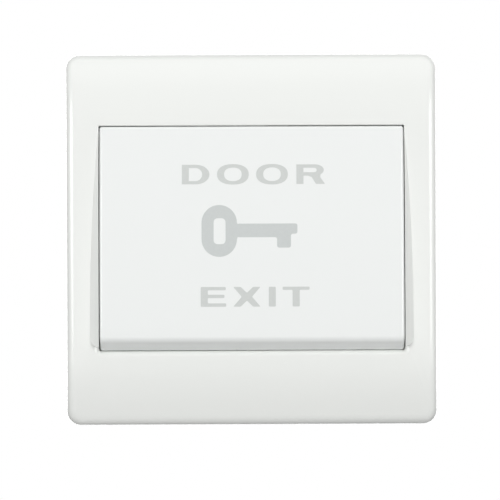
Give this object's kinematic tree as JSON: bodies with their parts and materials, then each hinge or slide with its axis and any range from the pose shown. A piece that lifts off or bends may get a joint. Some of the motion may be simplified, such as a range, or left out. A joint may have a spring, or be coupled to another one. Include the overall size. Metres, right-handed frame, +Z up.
{
  "type": "door exit button",
  "caption": "Wall-mounted door exit button: square clip-on face frame with a wide hinged press button, mounting plate and rear switch with screw terminals.",
  "frame": {"origin": "middle of the wall plane, which is also the middle of the object's box", "axes": "the front faces -Y, +Z is up as mounted, the switch housing reaches back along +Y into the wall box"},
  "size_m": [0.086, 0.023, 0.086],
  "materials": {
    "frame_white": "smooth satin-gloss moulded ABS, white",
    "button_white": "smooth satin-gloss moulded ABS, white",
    "plate_white": "moulded, matt",
    "base_black": "moulded, matt black",
    "cover_ivory": "moulded nylon, ivory",
    "plunger_natural": "natural acetal",
    "brass": "stamped, bright",
    "contact_silver": "silver contact alloy",
    "zinc_steel": "zinc plated",
    "spring_steel": "drawn spring wire",
    "print_grey": "pad-printed ink, light grey"
  },
  "bodies": {
    "housing": {"face_frame": "frame_white", "mounting_plate": "plate_white", "switch_base": "base_black", "switch_cover": "cover_ivory", "return_spring": "spring_steel", "fixed_contact_left": "contact_silver", "fixed_contact_right": "contact_silver", "terminal_strip_left": "brass", "terminal_strip_right": "brass", "wire_clamp_left": "zinc_steel", "wire_clamp_right": "zinc_steel", "terminal_screw_left": "zinc_steel", "terminal_screw_right": "zinc_steel", "module_screw_lower": "zinc_steel", "module_screw_upper": "zinc_steel", "cover_screw_left": "zinc_steel", "cover_screw_right": "zinc_steel"},
    "button": {"push_button": "button_white"},
    "plunger": {"plunger": "plunger_natural", "bridge_contact": "brass", "moving_contact_left": "contact_silver", "moving_contact_right": "contact_silver"}
  },
  "joints": [
    {"name": "button_hinge", "type": "hinge", "parent": "housing", "child": "button", "pos_m": [0, -0.0058, 0.024], "axis": [1, 0, 0], "range_deg": [0, 3.2], "stiffness_Nm_per_rad": 0.43, "springref_deg": -8.02},
    {"name": "plunger_slide", "type": "slide", "parent": "housing", "child": "plunger", "axis": [0, 1, 0], "range_m": [0, 0.00135], "deforming": ["return_spring"]}
  ],
  "couplings": [
    {"joint": "plunger_slide", "follows": "button_hinge", "m_per_rad": 0.024}
  ]
}
